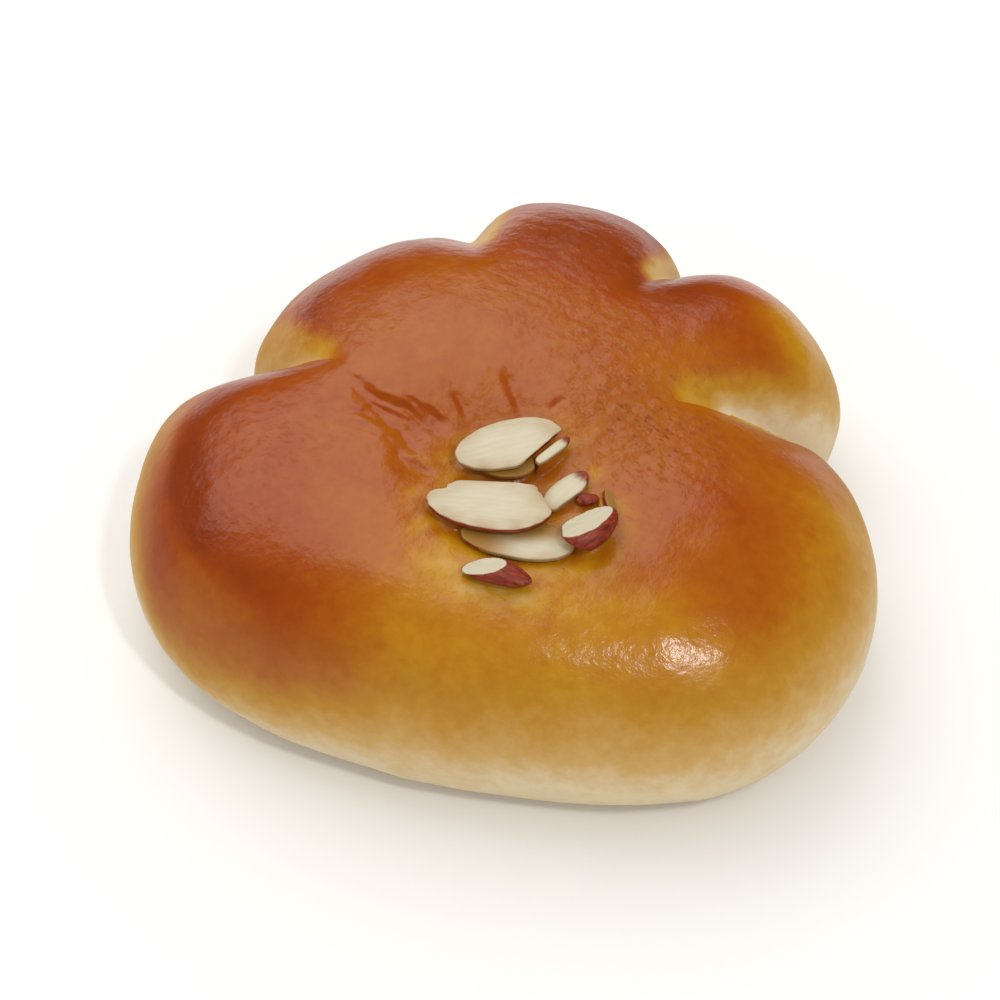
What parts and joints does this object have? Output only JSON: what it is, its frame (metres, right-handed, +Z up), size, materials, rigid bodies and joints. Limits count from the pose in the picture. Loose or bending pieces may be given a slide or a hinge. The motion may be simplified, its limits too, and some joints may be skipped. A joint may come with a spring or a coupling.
{
  "type": "custard bun",
  "caption": "Glove-shaped custard bun: snipped lobes along the back, a folded front, a glossy egg-washed crust and sliced almonds on top.",
  "frame": {"origin": "on the flat base, under the middle of the bun's box", "axes": "+X along the folded front edge, to the right as the picture shows it; +Y from the folded front edge to the snipped back edge; +Z up"},
  "size_m": [0.1178, 0.1086, 0.0409],
  "materials": {
    "crust": "egg-washed baked crust",
    "almond_flesh": "sliced almond",
    "almond_skin": "roasted almond skin"
  },
  "bodies": {
    "root": {"bun": "crust", "almond_top": "almond_flesh", "almond_under": "almond_flesh", "almond_sliver": "almond_flesh", "almond_middle": "almond_flesh", "almond_small": "almond_flesh", "almond_shard": "almond_flesh", "almond_low": "almond_flesh", "almond_wedge": "almond_skin", "almond_chip": "almond_skin", "almond_front": "almond_skin"}
  },
  "joints": []
}
